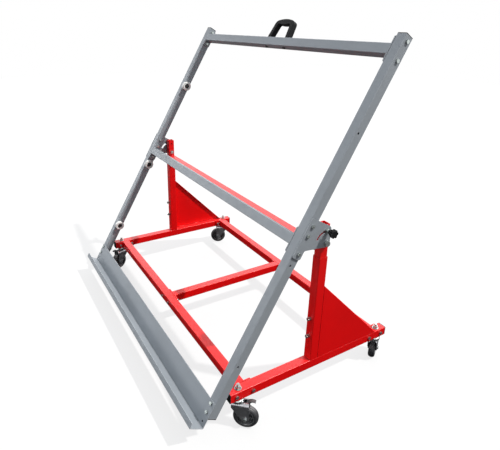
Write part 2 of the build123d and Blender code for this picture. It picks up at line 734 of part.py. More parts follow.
def arch(half_width, height, shoulder):
    """An upright arch outline with round shoulders, standing on the floor."""
    face = Pos(0, height / 2) * Rectangle(2 * half_width, height)
    return fillet(face.vertices().group_by(Axis.Y)[-1], shoulder)


def fork():
    """The caster's pressed fork: a round-shouldered arch whose legs narrow to the axle."""
    inner_shoulder = max(FORK_SHOULDER - FORK_SHEET, FORK_SHEET / 2)
    section = arch(fork_outside, fork_top, FORK_SHOULDER)
    section -= arch(fork_inside, fork_top - FORK_SHEET, inner_shoulder)
    # The section's X and Y are the caster's X and Z
    start = Plane(origin=(0, 2 * WHEEL_DIAMETER, 0), x_dir=(1, 0, 0), z_dir=(0, -1, 0)).location
    shell = start * extrude(section, 4 * WHEEL_DIAMETER)
    cheek = Pos((FORK_REAR - FORK_FRONT) / 2, fork_top - FORK_CHEEK / 2)
    cheek = cheek * Rectangle(FORK_FRONT + FORK_REAR, FORK_CHEEK)
    foot = Pos(CASTER_TRAIL, axle_z) * Circle(FORK_FOOT_RADIUS)
    side = make_hull((cheek + foot).edges())
    outside = Plane(origin=(-fork_outside, 0, 0), x_dir=(0, 1, 0), z_dir=(1, 0, 0)).location
    body = shell & (outside * extrude(side, 2 * fork_outside))
    # The pedal stands in a slot behind the race
    slot = Box(
        PEDAL_WIDTH + 2 * PEDAL_SLOT_PLAY,
        FORK_REAR,
        FORK_CHEEK,
        align=(Align.CENTER, Align.MIN, Align.CENTER),
    )
    body -= Pos(0, RACE_DIAMETER / 2, fork_top) * slot
    body += Pos(0, 0, fork_top - FORK_SHEET / 2) * extrude(
        Circle(RACE_DIAMETER / 2 - RACE_RING), RACE_RING + FORK_SHEET / 2
    )
    axle_at = (-fork_outside, CASTER_TRAIL, axle_z)
    body -= rod(AXLE_BOLT[0] + 2 * HOLE_PLAY, 2 * fork_outside, axle_at, (1, 0, 0))
    pin_at = (-fork_inside, PEDAL_PIVOT_Y, pedal_pivot_z)
    return body + rod(PEDAL_PIN_DIAMETER, 2 * fork_inside, pin_at, (1, 0, 0))


def axle():
    """The wheel's axle bolt and nut."""
    grip = 2 * fork_outside
    at = (-fork_outside, CASTER_TRAIL, axle_z)
    return group(bolt_and_nut(AXLE_BOLT, grip, at, (1, 0, 0), AXLE_OVERRUN))


def wheel_place():
    """The wheel's centre, with its axis along X."""
    return spot((0, CASTER_TRAIL, axle_z), (1, 0, 0))


def tyre():
    """The tyre, with round shoulders."""
    band = ring(WHEEL_DIAMETER, WHEEL_DIAMETER - 2 * TYRE_DEPTH, WHEEL_WIDTH)
    outer_rims = band.edges().filter_by(GeomType.CIRCLE).group_by(SortBy.RADIUS)[-1]
    band = fillet(outer_rims, TYRE_SHOULDER)
    return wheel_place() * Pos(0, 0, -WHEEL_WIDTH / 2) * band


def hub():
    """The wheel's centre: a rim, a ribbed web and a boss that runs on the axle."""
    boss_half = fork_inside - RACE_GAP
    rim_radius = WHEEL_DIAMETER / 2 - TYRE_DEPTH
    rim_half = WHEEL_WIDTH / 2
    bore = AXLE_BOLT[0] / 2 + RUNNING_PLAY
    # Each step of the profile: inner radius, outer radius and half width
    steps = (
        (bore, HUB_BOSS_DIAMETER / 2, boss_half),
        (bore, rim_radius, HUB_WEB / 2),
        (HUB_RING_DIAMETER / 2 - HUB_RING, HUB_RING_DIAMETER / 2, rim_half - HUB_RING_DROP),
        (rim_radius - HUB_RIM, rim_radius, rim_half),
    )
    profile = Sketch()
    for inner, outer, half in steps:
        profile += Pos((inner + outer) / 2, 0) * Rectangle(outer - inner, 2 * half)
    return wheel_place() * revolve(Plane.XZ * profile, Axis.Z)


def brake_pedal():
    """The brake pedal: a bent blade on the fork's pin, with a shoe over the tyre."""
    y, z = PEDAL_PIVOT_Y, pedal_pivot_z
    barrel = PEDAL_BARREL / 2
    tip_y, tip_z = y + PEDAL_REACH, z + PEDAL_TIP_RISE
    crest = (y + PEDAL_REACH / 3, z + PEDAL_RISE)
    back = (y - barrel, z)
    shoe_y = y + PEDAL_SHOE
    # The shoe stops just clear of the tyre when the pedal is pushed right down
    tyre_top = axle_z + (axle_z**2 - (shoe_y - CASTER_TRAIL) ** 2) ** 0.5
    shoe_z = tyre_top + PEDAL_SHOE * sin(radians(PEDAL_TRAVEL)) + 3 * RACE_GAP
    heel = (shoe_y, z + barrel / 2)
    blade = ThreePointArc(back, crest, (tip_y, tip_z))
    blade += Line((tip_y, tip_z), (tip_y - PEDAL_TIP / 3, tip_z - PEDAL_TIP))
    under = (crest[0] + PEDAL_BLADE, crest[1] - PEDAL_BLADE)
    blade += ThreePointArc((tip_y - PEDAL_TIP / 3, tip_z - PEDAL_TIP), under, heel)
    blade += Polyline(heel, (shoe_y, shoe_z), (y, shoe_z), back)
    side = make_face(blade) + Pos(y, z) * Circle(barrel)
    start = Plane(origin=(-PEDAL_WIDTH / 2, 0, 0), x_dir=(0, 1, 0), z_dir=(1, 0, 0)).location
    pedal = start * extrude(side, PEDAL_WIDTH)
    pin_hole = PEDAL_PIN_DIAMETER + 2 * RUNNING_PLAY
    return pedal - rod(pin_hole, PEDAL_WIDTH, (-PEDAL_WIDTH / 2, y, z), (1, 0, 0))


def build():
    """Every piece by its name."""
    rail, post, brace, slider = side_rail(), outer_post(), gusset(), inner_post()
    plate = FRAME_PLACE * tilt_plate()
    knob, stud = star_knob(), knob_stud()
    pieces = {
        "right_rail": rail,
        "left_rail": mirrored(rail),
        "front_cross_beam": cross_beam(front_beam_y),
        "rear_cross_beam": cross_beam(rear_beam_y),
        "centre_beam": centre_beam(),
        "base_bolts": base_bolts(),
        "rail_end_caps": rail_end_caps(),
        "right_outer_post": post,
        "left_outer_post": mirrored(post),
        "post_clamp_bolts": post_clamp_bolts(),
        "right_gusset": brace,
        "left_gusset": mirrored(brace),
        "right_inner_post": slider,
        "left_inner_post": mirrored(slider),
        "lift_cross_beam": lift_beam(),
        "pivot_bolts": pivot_bolts(),
        "stud_nuts": stud_nuts(),
        "right_tilt_plate": plate,
        "left_tilt_plate": mirrored(plate),
        "right_knob": knob,
        "left_knob": mirrored(knob),
        "right_knob_stud": stud,
        "left_knob_stud": mirrored(stud),
        "top_rail": top_rail(),
        "middle_rail": middle_rail(),
        "frame_bolts": frame_bolts(),
        "stile_end_caps": stile_end_caps(),
        "tray": tray(),
        "tray_bolts": tray_bolts(),
        "handle": handle(),
        "handle_bolts": handle_bolts(),
        "roller_bolts": roller_bolts(),
    }
    for name, side in SIDES.items():
        pieces[f"{name}_stile"] = stile(side)
    for name, height in roller_heights.items():
        pieces[f"{name}_roller"] = roller(height)
    stems = []
    caster = {"fork": fork(), "axle": axle(), "tyre": tyre(), "hub": hub(), "brake_pedal": brake_pedal()}
    stem = caster_stem()
    for name in CASTER_TURN:
        place = caster_place(name)
        stems += [place * solid for solid in stem]
        for piece, solid in caster.items():
            pieces[f"{name}_{piece}"] = place * solid
    pieces["caster_stems"] = group(stems)
    return pieces


os.makedirs("parts", exist_ok=True)
for name, piece in build().items():
    export_step(piece, f"parts/{name}.step")
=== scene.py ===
import json
import math
import random

import bpy
import bmesh
from mathutils import Matrix, Vector


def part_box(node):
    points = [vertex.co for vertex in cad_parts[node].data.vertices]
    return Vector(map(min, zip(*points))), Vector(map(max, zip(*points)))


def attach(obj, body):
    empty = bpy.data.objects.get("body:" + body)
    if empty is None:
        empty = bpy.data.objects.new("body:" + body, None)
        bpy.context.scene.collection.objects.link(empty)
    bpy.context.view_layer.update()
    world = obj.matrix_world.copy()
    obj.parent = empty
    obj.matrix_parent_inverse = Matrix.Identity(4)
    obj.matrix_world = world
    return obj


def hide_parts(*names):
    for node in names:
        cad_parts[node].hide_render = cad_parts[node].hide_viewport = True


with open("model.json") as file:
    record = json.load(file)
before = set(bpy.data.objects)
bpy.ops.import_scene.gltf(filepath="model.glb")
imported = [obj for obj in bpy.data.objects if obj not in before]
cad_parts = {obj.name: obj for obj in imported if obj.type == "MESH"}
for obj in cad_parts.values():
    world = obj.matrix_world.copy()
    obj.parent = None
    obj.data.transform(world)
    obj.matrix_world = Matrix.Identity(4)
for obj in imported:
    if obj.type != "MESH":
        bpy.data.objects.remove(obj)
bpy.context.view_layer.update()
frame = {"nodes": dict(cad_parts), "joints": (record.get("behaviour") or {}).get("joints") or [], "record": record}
nodes = frame["nodes"]
joints = {joint["name"]: joint for joint in frame["joints"]}
scene = bpy.context.scene
scene.view_settings.view_transform = "Standard"


# Camera: the photograph's viewing point, in metres and radians
CAMERA_PLACE = (1.8029, -1.0482, 1.4463)
CAMERA_YAW = 1.0270
CAMERA_PITCH = 0.3704
CAMERA_ROLL = 0.0192
FOCAL_PX = 444.57
IMAGE_WIDTH_PX = 500.0
IMAGE_HEIGHT_PX = 450.0
OPTICAL_CENTRE_PX = (233.95, 198.73)
SENSOR_MM = 36.0
CAMERA_REACH = 50.0


def make_camera():
    """A camera at the photograph's place, with its lens and its shifted centre."""
    look = Vector((
        -math.sin(CAMERA_YAW) * math.cos(CAMERA_PITCH),
        math.cos(CAMERA_YAW) * math.cos(CAMERA_PITCH),
        -math.sin(CAMERA_PITCH),
    ))
    level = Vector((math.cos(CAMERA_YAW), math.sin(CAMERA_YAW), 0))
    top = level.cross(look)
    right = level * math.cos(CAMERA_ROLL) + top * math.sin(CAMERA_ROLL)
    up = top * math.cos(CAMERA_ROLL) - level * math.sin(CAMERA_ROLL)
    data = bpy.data.cameras.new("camera")
    data.sensor_fit = "HORIZONTAL"
    data.sensor_width = SENSOR_MM
    data.lens = FOCAL_PX / IMAGE_WIDTH_PX * SENSOR_MM
    data.shift_x = (IMAGE_WIDTH_PX / 2 - OPTICAL_CENTRE_PX[0]) / IMAGE_WIDTH_PX
    data.shift_y = (OPTICAL_CENTRE_PX[1] - IMAGE_HEIGHT_PX / 2) / IMAGE_WIDTH_PX
    data.clip_end = CAMERA_REACH
    camera = bpy.data.objects.new("camera", data)
    turn = Matrix((right, up, -look)).transposed().to_4x4()
    camera.matrix_world = Matrix.Translation(CAMERA_PLACE) @ turn
    scene.collection.objects.link(camera)
    scene.camera = camera


make_camera()


# Materials

class Graph:
    """A node tree with short ways to add nodes and links."""

    def __init__(self, owner):
        owner.use_nodes = True
        self.tree = owner.node_tree
        coordinates = self.add("ShaderNodeTexCoord")
        self.place = coordinates.outputs["Object"]
        self.toward = coordinates.outputs["Generated"]

    def add(self, kind, **values):
        node = self.tree.nodes.new(kind)
        for key, value in values.items():
            setattr(node, key, value)
        return node

    def link(self, source, target):
        self.tree.links.new(source, target)

    def noise(self, scale, detail=3.0, roughness=0.5):
        node = self.add("ShaderNodeTexNoise")
        node.inputs["Scale"].default_value = scale
        node.inputs["Detail"].default_value = detail
        node.inputs["Roughness"].default_value = roughness
        self.link(self.place, node.inputs["Vector"])
        return node.outputs["Fac"]

    def ramp(self, factor, stops):
        """A colour ramp between two stops of position and colour."""
        node = self.add("ShaderNodeValToRGB")
        elements = node.color_ramp.elements
        for element, (position, colour) in zip(elements, stops):
            element.position = position
            element.color = (*colour, 1.0)
        self.link(factor, node.inputs["Fac"])
        return node.outputs["Color"]

    def map_range(self, value, source, target):
        node = self.add("ShaderNodeMapRange")
        node.inputs["From Min"].default_value, node.inputs["From Max"].default_value = source
        node.inputs["To Min"].default_value, node.inputs["To Max"].default_value = target
        self.link(value, node.inputs["Value"])
        return node.outputs["Result"]

    def math(self, operation, first, second):
        node = self.add("ShaderNodeMath", operation=operation)
        for socket, value in zip(node.inputs, (first, second)):
            if isinstance(value, float):
                socket.default_value = value
            else:
                self.link(value, socket)
        return node.outputs["Value"]

    def dot(self, first, second):
        node = self.add("ShaderNodeVectorMath", operation="DOT_PRODUCT")
        for socket, value in zip(node.inputs, (first, second)):
            if isinstance(value, tuple):
                socket.default_value = value
            else:
                self.link(value, socket)
        return node.outputs["Value"]

    def blend(self, factor, first, colour):
        """Mixes a colour in: a Mix node's colour sockets are numbers 6 and 7, its colour output 2."""
        node = self.add("ShaderNodeMix", data_type="RGBA")
        self.link(factor, node.inputs[0])
        self.link(first, node.inputs[6])
        node.inputs[7].default_value = (*colour, 1.0)
        return node.outputs[2]

    def mix_shader(self, factor, first, second):
        node = self.add("ShaderNodeMixShader")
        self.link(factor, node.inputs["Fac"])
        self.link(first, node.inputs[1])
        self.link(second, node.inputs[2])
        return node.outputs["Shader"]

    def bump(self, height, strength, distance, before):
        node = self.add("ShaderNodeBump")
        node.inputs["Strength"].default_value = strength
        node.inputs["Distance"].default_value = distance
        self.link(height, node.inputs["Height"])
        self.link(before, node.inputs["Normal"])
        return node.outputs["Normal"]


def shade(colour, factor):
    """The colour, darker or lighter by a factor."""
    return tuple(min(1.0, c * factor) for c in colour)


# How surfaces vary: cloudiness, a painted highlight on top faces, edges lightened as wear and painted highlight,
# painted shade in nooks, and fine relief
NOISE_BAND = (0.3, 0.7)
GLOSS_CHANGE = 0.15
GLOSS_FINENESS = 6
SHEEN_FINENESS = 3
SHEEN_SLOPE = (0.55, 1.0)
SHEEN_COVER = (0.75, 1.0)
EDGE_REACH = 0.0016
EDGE_TURN = (0.985, 0.90)
EDGE_PATCH = 90.0
EDGE_BAND = (0.35, 0.65)
EDGE_COVER = (0.75, 1.0)
NOOK_SHADE_REACH = 0.012
NOOK_SHADE_DEPTH = (0.25, 0.80)
NOOK_DARKNESS = 0.08
GRAIN_STRENGTH = 0.5
PEEL_PATCH = 260.0
PEEL_STRENGTH = 0.35


def surface(name, colour, rough, metal=0.0, spread=0.06, patch=7.0, grain=1400.0, grain_height=0.00004,
            coat=0.0, coat_rough=0.1, peel=0.0, specular=0.5, edge_wear_and_highlight=None, top_sheen=None, nook_shade=0.0,
            rounding=0.0008):
    """A procedural surface: cloudy colour, uneven gloss, fine relief, edges lightened as wear and painted
    highlight, a painted highlight on top faces and painted shade in nooks.
    """
    material = bpy.data.materials.new(name)
    graph = Graph(material)
    shader = graph.tree.nodes["Principled BSDF"]
    normal = graph.add("ShaderNodeNewGeometry").outputs["Normal"]
    soft = graph.add("ShaderNodeBevel", samples=4)
    soft.inputs["Radius"].default_value = rounding
    shades = (shade(colour, 1 - spread), shade(colour, 1 + spread))
    tint = graph.ramp(graph.noise(patch, detail=4.0), zip(NOISE_BAND, shades))
    # Painted highlight: faces that look upward are mixed toward a paler colour, broken up by flecks
    if top_sheen:
        upward = graph.map_range(graph.dot(normal, (0.0, 0.0, 1.0)), SHEEN_SLOPE, (0.0, 1.0))
        sheen_flecks = graph.noise(patch * SHEEN_FINENESS, detail=5.0, roughness=0.6)
        sheen_film = graph.map_range(sheen_flecks, NOISE_BAND, SHEEN_COVER)
        tint = graph.blend(graph.math("MULTIPLY", upward, sheen_film), tint, top_sheen)
    # Edges are lightened: partly wear, partly a painted highlight where edges catch light
    if edge_wear_and_highlight:
        wide = graph.add("ShaderNodeBevel", samples=6)
        wide.inputs["Radius"].default_value = EDGE_REACH
        turned = graph.map_range(graph.dot(wide.outputs["Normal"], normal), EDGE_TURN, (0.0, 1.0))
        edge_patches = graph.noise(EDGE_PATCH, detail=4.0, roughness=0.7)
        edge_patch_mask = graph.map_range(edge_patches, EDGE_BAND, EDGE_COVER)
        tint = graph.blend(graph.math("MULTIPLY", turned, edge_patch_mask), tint, edge_wear_and_highlight)
    # Painted shade: the colour darkens in nooks and between parts, where ambient occlusion finds other surfaces
    # close
    if nook_shade:
        nook = graph.add("ShaderNodeAmbientOcclusion", samples=8)
        nook.inputs["Distance"].default_value = NOOK_SHADE_REACH
        depth = graph.map_range(nook.outputs["AO"], NOOK_SHADE_DEPTH, (nook_shade, 0.0))
        tint = graph.blend(depth, tint, shade(colour, NOOK_DARKNESS))
    graph.link(tint, shader.inputs["Base Color"])
    wipe = graph.noise(patch * GLOSS_FINENESS, detail=5.0, roughness=0.6)
    rough_band = (rough * (1 - GLOSS_CHANGE), min(1.0, rough * (1 + GLOSS_CHANGE)))
    gloss = graph.map_range(wipe, NOISE_BAND, rough_band)
    graph.link(gloss, shader.inputs["Roughness"])
    fine = graph.noise(grain, detail=2.0)
    relief = graph.bump(fine, GRAIN_STRENGTH, grain_height, soft.outputs["Normal"])
    if peel:
        relief = graph.bump(graph.noise(PEEL_PATCH, detail=1.0), PEEL_STRENGTH, peel, relief)
    graph.link(relief, shader.inputs["Normal"])
    shader.inputs["Metallic"].default_value = metal
    shader.inputs["Specular IOR Level"].default_value = specular
    shader.inputs["Coat Weight"].default_value = coat
    shader.inputs["Coat Roughness"].default_value = coat_rough
    return material


# Per material, the colour for upward faces is a painted highlight, the colour for edges is wear and a painted
# highlight, and the nook amount paints shade between parts
MATERIALS = {
    "red_paint": surface("red_paint", (0.87, 0.002, 0.003), 0.5, spread=0.04, coat=1.0, coat_rough=0.34,
                         peel=0.00003, specular=0.0, top_sheen=(0.86, 0.022, 0.023), nook_shade=0.85),
    "grey_paint": surface("grey_paint", (0.318, 0.346, 0.376), 0.52, metal=0.05, spread=0.05, coat=0.1,
                          coat_rough=0.2, peel=0.00005, specular=0.35, edge_wear_and_highlight=(0.50, 0.53, 0.56), nook_shade=0.8),
    "tray_paint": surface("tray_paint", (0.330, 0.360, 0.391), 0.50, metal=0.1, spread=0.05, coat=0.1,
                          coat_rough=0.2, peel=0.00006, specular=0.35, edge_wear_and_highlight=(0.60, 0.63, 0.66), nook_shade=0.7),
    "zinc": surface("zinc", (0.55, 0.60, 0.585), 0.28, metal=0.88, spread=0.12, patch=60.0, nook_shade=0.85),
    "fork_steel": surface("fork_steel", (0.56, 0.57, 0.60), 0.33, metal=0.92, spread=0.12, patch=40.0,
                          nook_shade=0.6),
    "black_steel": surface("black_steel", (0.02, 0.02, 0.022), 0.35, spread=0.12, patch=60.0),
    "black_plastic": surface("black_plastic", (0.010, 0.0103, 0.0115), 0.50, spread=0.15, grain=2200.0,
                             grain_height=0.00008, specular=0.1, edge_wear_and_highlight=(0.12, 0.12, 0.125)),
    "pedal_plastic": surface("pedal_plastic", (0.11, 0.111, 0.115), 0.40, spread=0.15, patch=40.0,
                             edge_wear_and_highlight=(0.30, 0.30, 0.31)),
    "hub_plastic": surface("hub_plastic", (0.040, 0.041, 0.045), 0.40, spread=0.12, patch=30.0,
                           edge_wear_and_highlight=(0.55, 0.555, 0.565), top_sheen=(0.40, 0.405, 0.415)),
    "tyre_rubber": surface("tyre_rubber", (0.050, 0.050, 0.054), 0.45, spread=0.15, patch=25.0,
                           top_sheen=(0.26, 0.26, 0.265)),
    "white_plastic": surface("white_plastic", (0.83, 0.83, 0.81), 0.4, spread=0.03, patch=20.0),
}

# Every solid takes the material of its slot
for part in frame["record"]["subparts"]:
    node = nodes[part["node"]]
    node.data.materials.clear()
    node.data.materials.append(MATERIALS[part["material_slot"]])


# Pieces that carry finer detail than the solids

SHARP_ANGLE = math.radians(38)


def new_piece(name, mesh_data, slot, body, *stands_for):
    """A smooth-shaded piece from a bmesh, with its material, body and the nodes it stands for."""
    mesh = bpy.data.meshes.new(name)
    mesh_data.normal_update()
    mesh_data.to_mesh(mesh)
    mesh_data.free()
    mesh.materials.append(MATERIALS[slot])
    mesh.set_sharp_from_angle(angle=SHARP_ANGLE)
    piece = bpy.data.objects.new(name, mesh)
    scene.collection.objects.link(piece)
    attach(piece, body)
    if stands_for:
        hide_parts(*stands_for)
    return piece


def lathe(work, profile, place, segments):
    """Turns a closed outline of (radius, height) points round the place's Z axis."""
    rings = []
    for step in range(segments):
        turn = 2 * math.pi * step / segments
        ray = Vector((math.cos(turn), math.sin(turn), 0))
        rings.append([work.verts.new(place @ (ray * radius + Vector((0, 0, height))))
                      for radius, height in profile])
    count = len(profile)
    for step in range(segments):
        here, there = rings[step], rings[(step + 1) % segments]
        for i in range(count):
            j = (i + 1) % count
            work.faces.new((here[i], there[i], there[j], here[j])).smooth = True


def arc(centre, radius, start, end, steps):
    """Points on an arc in the (radius, height) plane, angles in degrees."""
    points = []
    for step in range(steps + 1):
        angle = math.radians(start + (end - start) * step / steps)
        points.append((centre[0] + radius * math.cos(angle), centre[1] + radius * math.sin(angle)))
    return points


def mirrored_outline(half):
    """Closes an outline drawn for heights above zero with its mirror image below."""
    return half + [(radius, -height) for radius, height in reversed(half)]


def joint_place(name):
    """A frame at a hinge, with Z along its axis."""
    joint = joints[name]
    turn = Vector(joint["axis"]).to_track_quat("Z", "Y").to_matrix().to_4x4()
    return Matrix.Translation(joint["pos_m"]) @ turn


CASTERS = ("front_right", "rear_right", "rear_left", "front_left")
TYRE_RADIUS = 0.050
TYRE_BORE = 0.0351
TYRE_HALF_WIDTH = 0.015
TYRE_SHOULDER = 0.012
TYRE_CHAMFER = 0.001
TYRE_SEGMENTS = 96
# The sidewall rib's outer radius and rise, and where its flank starts and ends inside that radius
SIDEWALL_RIB = (0.0375, 0.0006)
RIB_FLANK = (0.0012, 0.0006)
# Arcs from the sidewall to the tread groove and from there to the middle: two angles and the steps
SHOULDER_ARC = (88, 28, 9)
CROWN_ARC = (24, 0, 4)
# The tread groove's width, depth and the slope of its outer flank
TREAD_GROOVE = (0.0016, 0.0009, 0.0003)
# Inner radius, outer radius and half height of each raised part of the wheel centre
HUB_BOSS = (0.0041, 0.015, 0.0175)
HUB_RING = (0.022, 0.025, 0.0120)
HUB_RIM = (0.031, 0.0349, 0.0148)
HUB_WEB_HALF = 0.005
HUB_ROUND = 0.0007
HUB_SEGMENTS = 64
# Ribs of the wheel centre: the inner span's height and the outer's, feet sunk in the web
HUB_RIBS = 6
HUB_RIB_HALF = 0.0016
HUB_RIB_TAPER = 0.7
HUB_RIB_HEIGHTS = (0.0095, 0.0085)
HUB_RIB_FOOT = 0.9
HUB_RIB_OVERLAP = 0.0004
BOX_FACES = ((0, 1, 3, 2), (4, 6, 7, 5), (0, 2, 6, 4), (1, 5, 7, 3), (2, 3, 7, 6), (0, 4, 5, 1))


def tyre_outline():
    """Bore to tread centre: a flat bead, a ribbed sidewall, a round shoulder and a grooved crown."""
    rib, rise = SIDEWALL_RIB
    start, end = RIB_FLANK
    groove, depth, slope = TREAD_GROOVE
    centre = (TYRE_RADIUS - TYRE_SHOULDER, TYRE_HALF_WIDTH - TYRE_SHOULDER)
    side = TYRE_HALF_WIDTH - rise
    half = [(TYRE_BORE, side - TYRE_CHAMFER), (TYRE_BORE + TYRE_CHAMFER, side)]
    half += [(rib - start, side), (rib - end, side + rise), (rib, side + rise)]
    half += arc(centre, TYRE_SHOULDER, *SHOULDER_ARC)
    crown = arc(centre, TYRE_SHOULDER, *CROWN_ARC)
    lip_radius, lip_height = crown[0]
    half += [(lip_radius - depth, lip_height - slope), (lip_radius - depth, lip_height - groove)]
    half += [point for point in crown[1:] if point[1] < lip_height - groove]
    return mirrored_outline(half)


def soft_top(inner, outer, height):
    """The top of a raised part: two corners, each cut off by a small bevel."""
    return [(inner, height - HUB_ROUND), (inner + HUB_ROUND, height),
            (outer - HUB_ROUND, height), (outer, height - HUB_ROUND)]


def hub_outline():
    """Bore to rim: a boss, a web, a raised ring and a rim, each with soft corners."""
    half = soft_top(*HUB_BOSS)
    half += [(HUB_BOSS[1], HUB_WEB_HALF), (HUB_RING[0], HUB_WEB_HALF)]
    half += soft_top(*HUB_RING)
    half += [(HUB_RING[1], HUB_WEB_HALF), (HUB_RIM[0], HUB_WEB_HALF)]
    half += soft_top(*HUB_RIM)
    return mirrored_outline(half)


def hub_ribs(work, place):
    """Short tapered ribs on both sides of the web, from the boss to the ring and on to the rim."""
    spans = ((HUB_BOSS[1], HUB_RING[0]), (HUB_RING[1], HUB_RIM[0]))
    for step in range(HUB_RIBS):
        turn = place @ Matrix.Rotation(2 * math.pi * step / HUB_RIBS, 4, "Z")
        for (inner, outer), height in zip(spans, HUB_RIB_HEIGHTS):
            for side in (-1, 1):
                foot, crest = side * HUB_WEB_HALF * HUB_RIB_FOOT, side * height
                corners = []
                for radius in (inner - HUB_RIB_OVERLAP, outer + HUB_RIB_OVERLAP):
                    for width, level in ((1.0, foot), (HUB_RIB_TAPER, crest)):
                        for hand in (-1, 1):
                            spot = Vector((radius, hand * width * HUB_RIB_HALF, level))
                            corners.append(work.verts.new(turn @ spot))
                for face in BOX_FACES:
                    work.faces.new([corners[i] for i in face])


def make_wheels():
    """Each caster's tyre and wheel centre, in the place of the plain ones."""
    for name in CASTERS:
        place = joint_place(f"{name}_wheel_spin")
        rubber = bmesh.new()
        lathe(rubber, tyre_outline(), place, TYRE_SEGMENTS)
        bmesh.ops.recalc_face_normals(rubber, faces=rubber.faces)
        new_piece(f"{name}_tread", rubber, "tyre_rubber", f"{name}_wheel", f"{name}_tyre")
        centre = bmesh.new()
        lathe(centre, hub_outline(), place, HUB_SEGMENTS)
        hub_ribs(centre, place)
        bmesh.ops.recalc_face_normals(centre, faces=centre.faces)
        new_piece(f"{name}_wheel_centre", centre, "hub_plastic", f"{name}_wheel", f"{name}_hub")


make_wheels()


# Black plugs in the tray's spare holes, painted shade that stands in for the dark seen through them

REST_TILT = math.radians(30)
# Places in the frame's own axes, measured from the middle of the pivot line
FRAME_X = 0.705
TRAY_FACE = -0.1275
SPARE_HOLE = -0.783
MERGE_DISTANCE = 1e-6
PLUG_SEGMENTS = 24
PLUG_OUTLINE = ((0.0, 0.0006), (0.0030, 0.0006), (0.0040, 0.0011), (0.0043, 0.0011), (0.0043, 0.0027),
                (0.0060, 0.0027), (0.0060, 0.0036), (0.0054, 0.0041), (0.0, 0.0041))


def make_hole_shades():
    """A dished black plug from behind in the lowest hole at each end of the tray, painted shade where the hole
    shows only dark.
    """
    lean = Matrix.Rotation(-REST_TILT, 4, "X")
    pivot = Matrix.Translation((0, *joints["frame_tilt"]["pos_m"][1:]))
    inward = Matrix.Rotation(-math.pi / 2, 4, "X")
    work = bmesh.new()
    for side in (-1, 1):
        spot = Matrix.Translation((side * FRAME_X, TRAY_FACE, SPARE_HOLE))
        lathe(work, PLUG_OUTLINE, pivot @ lean @ spot @ inward, PLUG_SEGMENTS)
    bmesh.ops.remove_doubles(work, verts=work.verts, dist=MERGE_DISTANCE)
    bmesh.ops.recalc_face_normals(work, faces=work.faces)
    new_piece("tray_hole_shades", work, "black_plastic", "frame")


make_hole_shades()


# Weld beads where tubes, plates and sheets meet

BEAD_LEG = 0.0026
BEAD_PITCH = 0.0024
BEAD_STEPS = 4
BEAD_STEPS_LEAST = 8
BEAD_ARC = 5
# A bead's share of its full size at its ends, and how many legs of length add one full size
BEAD_END = 0.45
BEAD_GROWTH = 1.5
BEAD_WOBBLE = (0.97, 1.03)
# How far the ripples bow, how deep they are and how sharp their valleys
RIPPLE_BOW = 0.5
RIPPLE_DEPTH = 0.14
RIPPLE_POWER = 0.6
bead_chance = random.Random(7)


def bead(work, start, end, first, second):
    """A rippled fillet along the inside corner between two faces with the given outward normals."""
    start, end, first, second = Vector(start), Vector(end), Vector(first), Vector(second)
    length = (end - start).length
    along = (end - start) / length
    count = max(BEAD_STEPS_LEAST, round(length / BEAD_PITCH * BEAD_STEPS))
    rings = []
    for step in range(count + 1):
        at = length * step / count
        fade = min(1.0, BEAD_END + min(at, length - at) / (BEAD_GROWTH * BEAD_LEG))
        wobble = bead_chance.uniform(*BEAD_WOBBLE)
        ring = [work.verts.new(start + along * at)]
        for i in range(BEAD_ARC + 1):
            angle = math.pi / 2 * i / BEAD_ARC
            lag = at + RIPPLE_BOW * BEAD_LEG * math.sin(2 * angle)
            wave = abs(math.sin(math.pi * lag / BEAD_PITCH)) ** RIPPLE_POWER
            ripple = 1 - RIPPLE_DEPTH + RIPPLE_DEPTH * wave
            radius = BEAD_LEG * fade * wobble * ripple
            reach = first * math.cos(angle) + second * math.sin(angle)
            ring.append(work.verts.new(start + along * at + reach * radius))
        rings.append(ring)
    for here, there in zip(rings, rings[1:]):
        for i in range(len(here)):
            j = (i + 1) % len(here)
            work.faces.new((here[i], there[i], there[j], here[j])).smooth = True
    work.faces.new(rings[0])
    work.faces.new(list(reversed(rings[-1])))


def middle(node):
    """The middle of a node's box, with the box's lowest and highest corner."""
    low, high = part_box(node)
    return (low + high) / 2, low, high


TUBE_HALF = 0.020
END_PLATE = 0.005
CORNER = 0.0035
GUSSET_SHEET = 0.003
STITCH = 0.03
FOOT_STITCHES = (0.055, 0.165, 0.275)
POST_STITCHES = (0.03, 0.13, 0.23)
LIFT_WELD_HALF = 0.0135


def base_welds(work):
    """Stitches along each gusset's foot and its edge on the post, and beads at the beams' end plates."""
    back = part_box("right_outer_post")[1].y
    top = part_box("right_rail")[1].z
    for side in (-1, 1):
        sheet = side * (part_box("right_gusset")[1].x - GUSSET_SHEET)
        inward = (-side, 0, 0)
        for y in FOOT_STITCHES:
            bead(work, (sheet, y, top), (sheet, y + STITCH, top), (0, 0, 1), inward)
        for z in POST_STITCHES:
            foot, crest = top + z, top + z + STITCH
            bead(work, (sheet, back, foot), (sheet, back, crest), (0, 1, 0), inward)
    for beam in ("front_cross_beam", "rear_cross_beam"):
        mid, low, high = middle(beam)
        foot, crest = low.z + CORNER, high.z - CORNER
        for side in (-1, 1):
            plate = side * (high.x - END_PLATE)
            for face in (-1, 1):
                y = mid.y + face * TUBE_HALF
                bead(work, (plate, y, foot), (plate, y, crest), (-side, 0, 0), (0, face, 0))
    mid, low, high = middle("centre_beam")
    foot, crest = low.z + CORNER, high.z - CORNER
    for plate, facing in ((low.y + END_PLATE, 1), (high.y - END_PLATE, -1)):
        for face in (-1, 1):
            x = mid.x + face * TUBE_HALF
            bead(work, (x, plate, foot), (x, plate, crest), (0, facing, 0), (face, 0, 0))


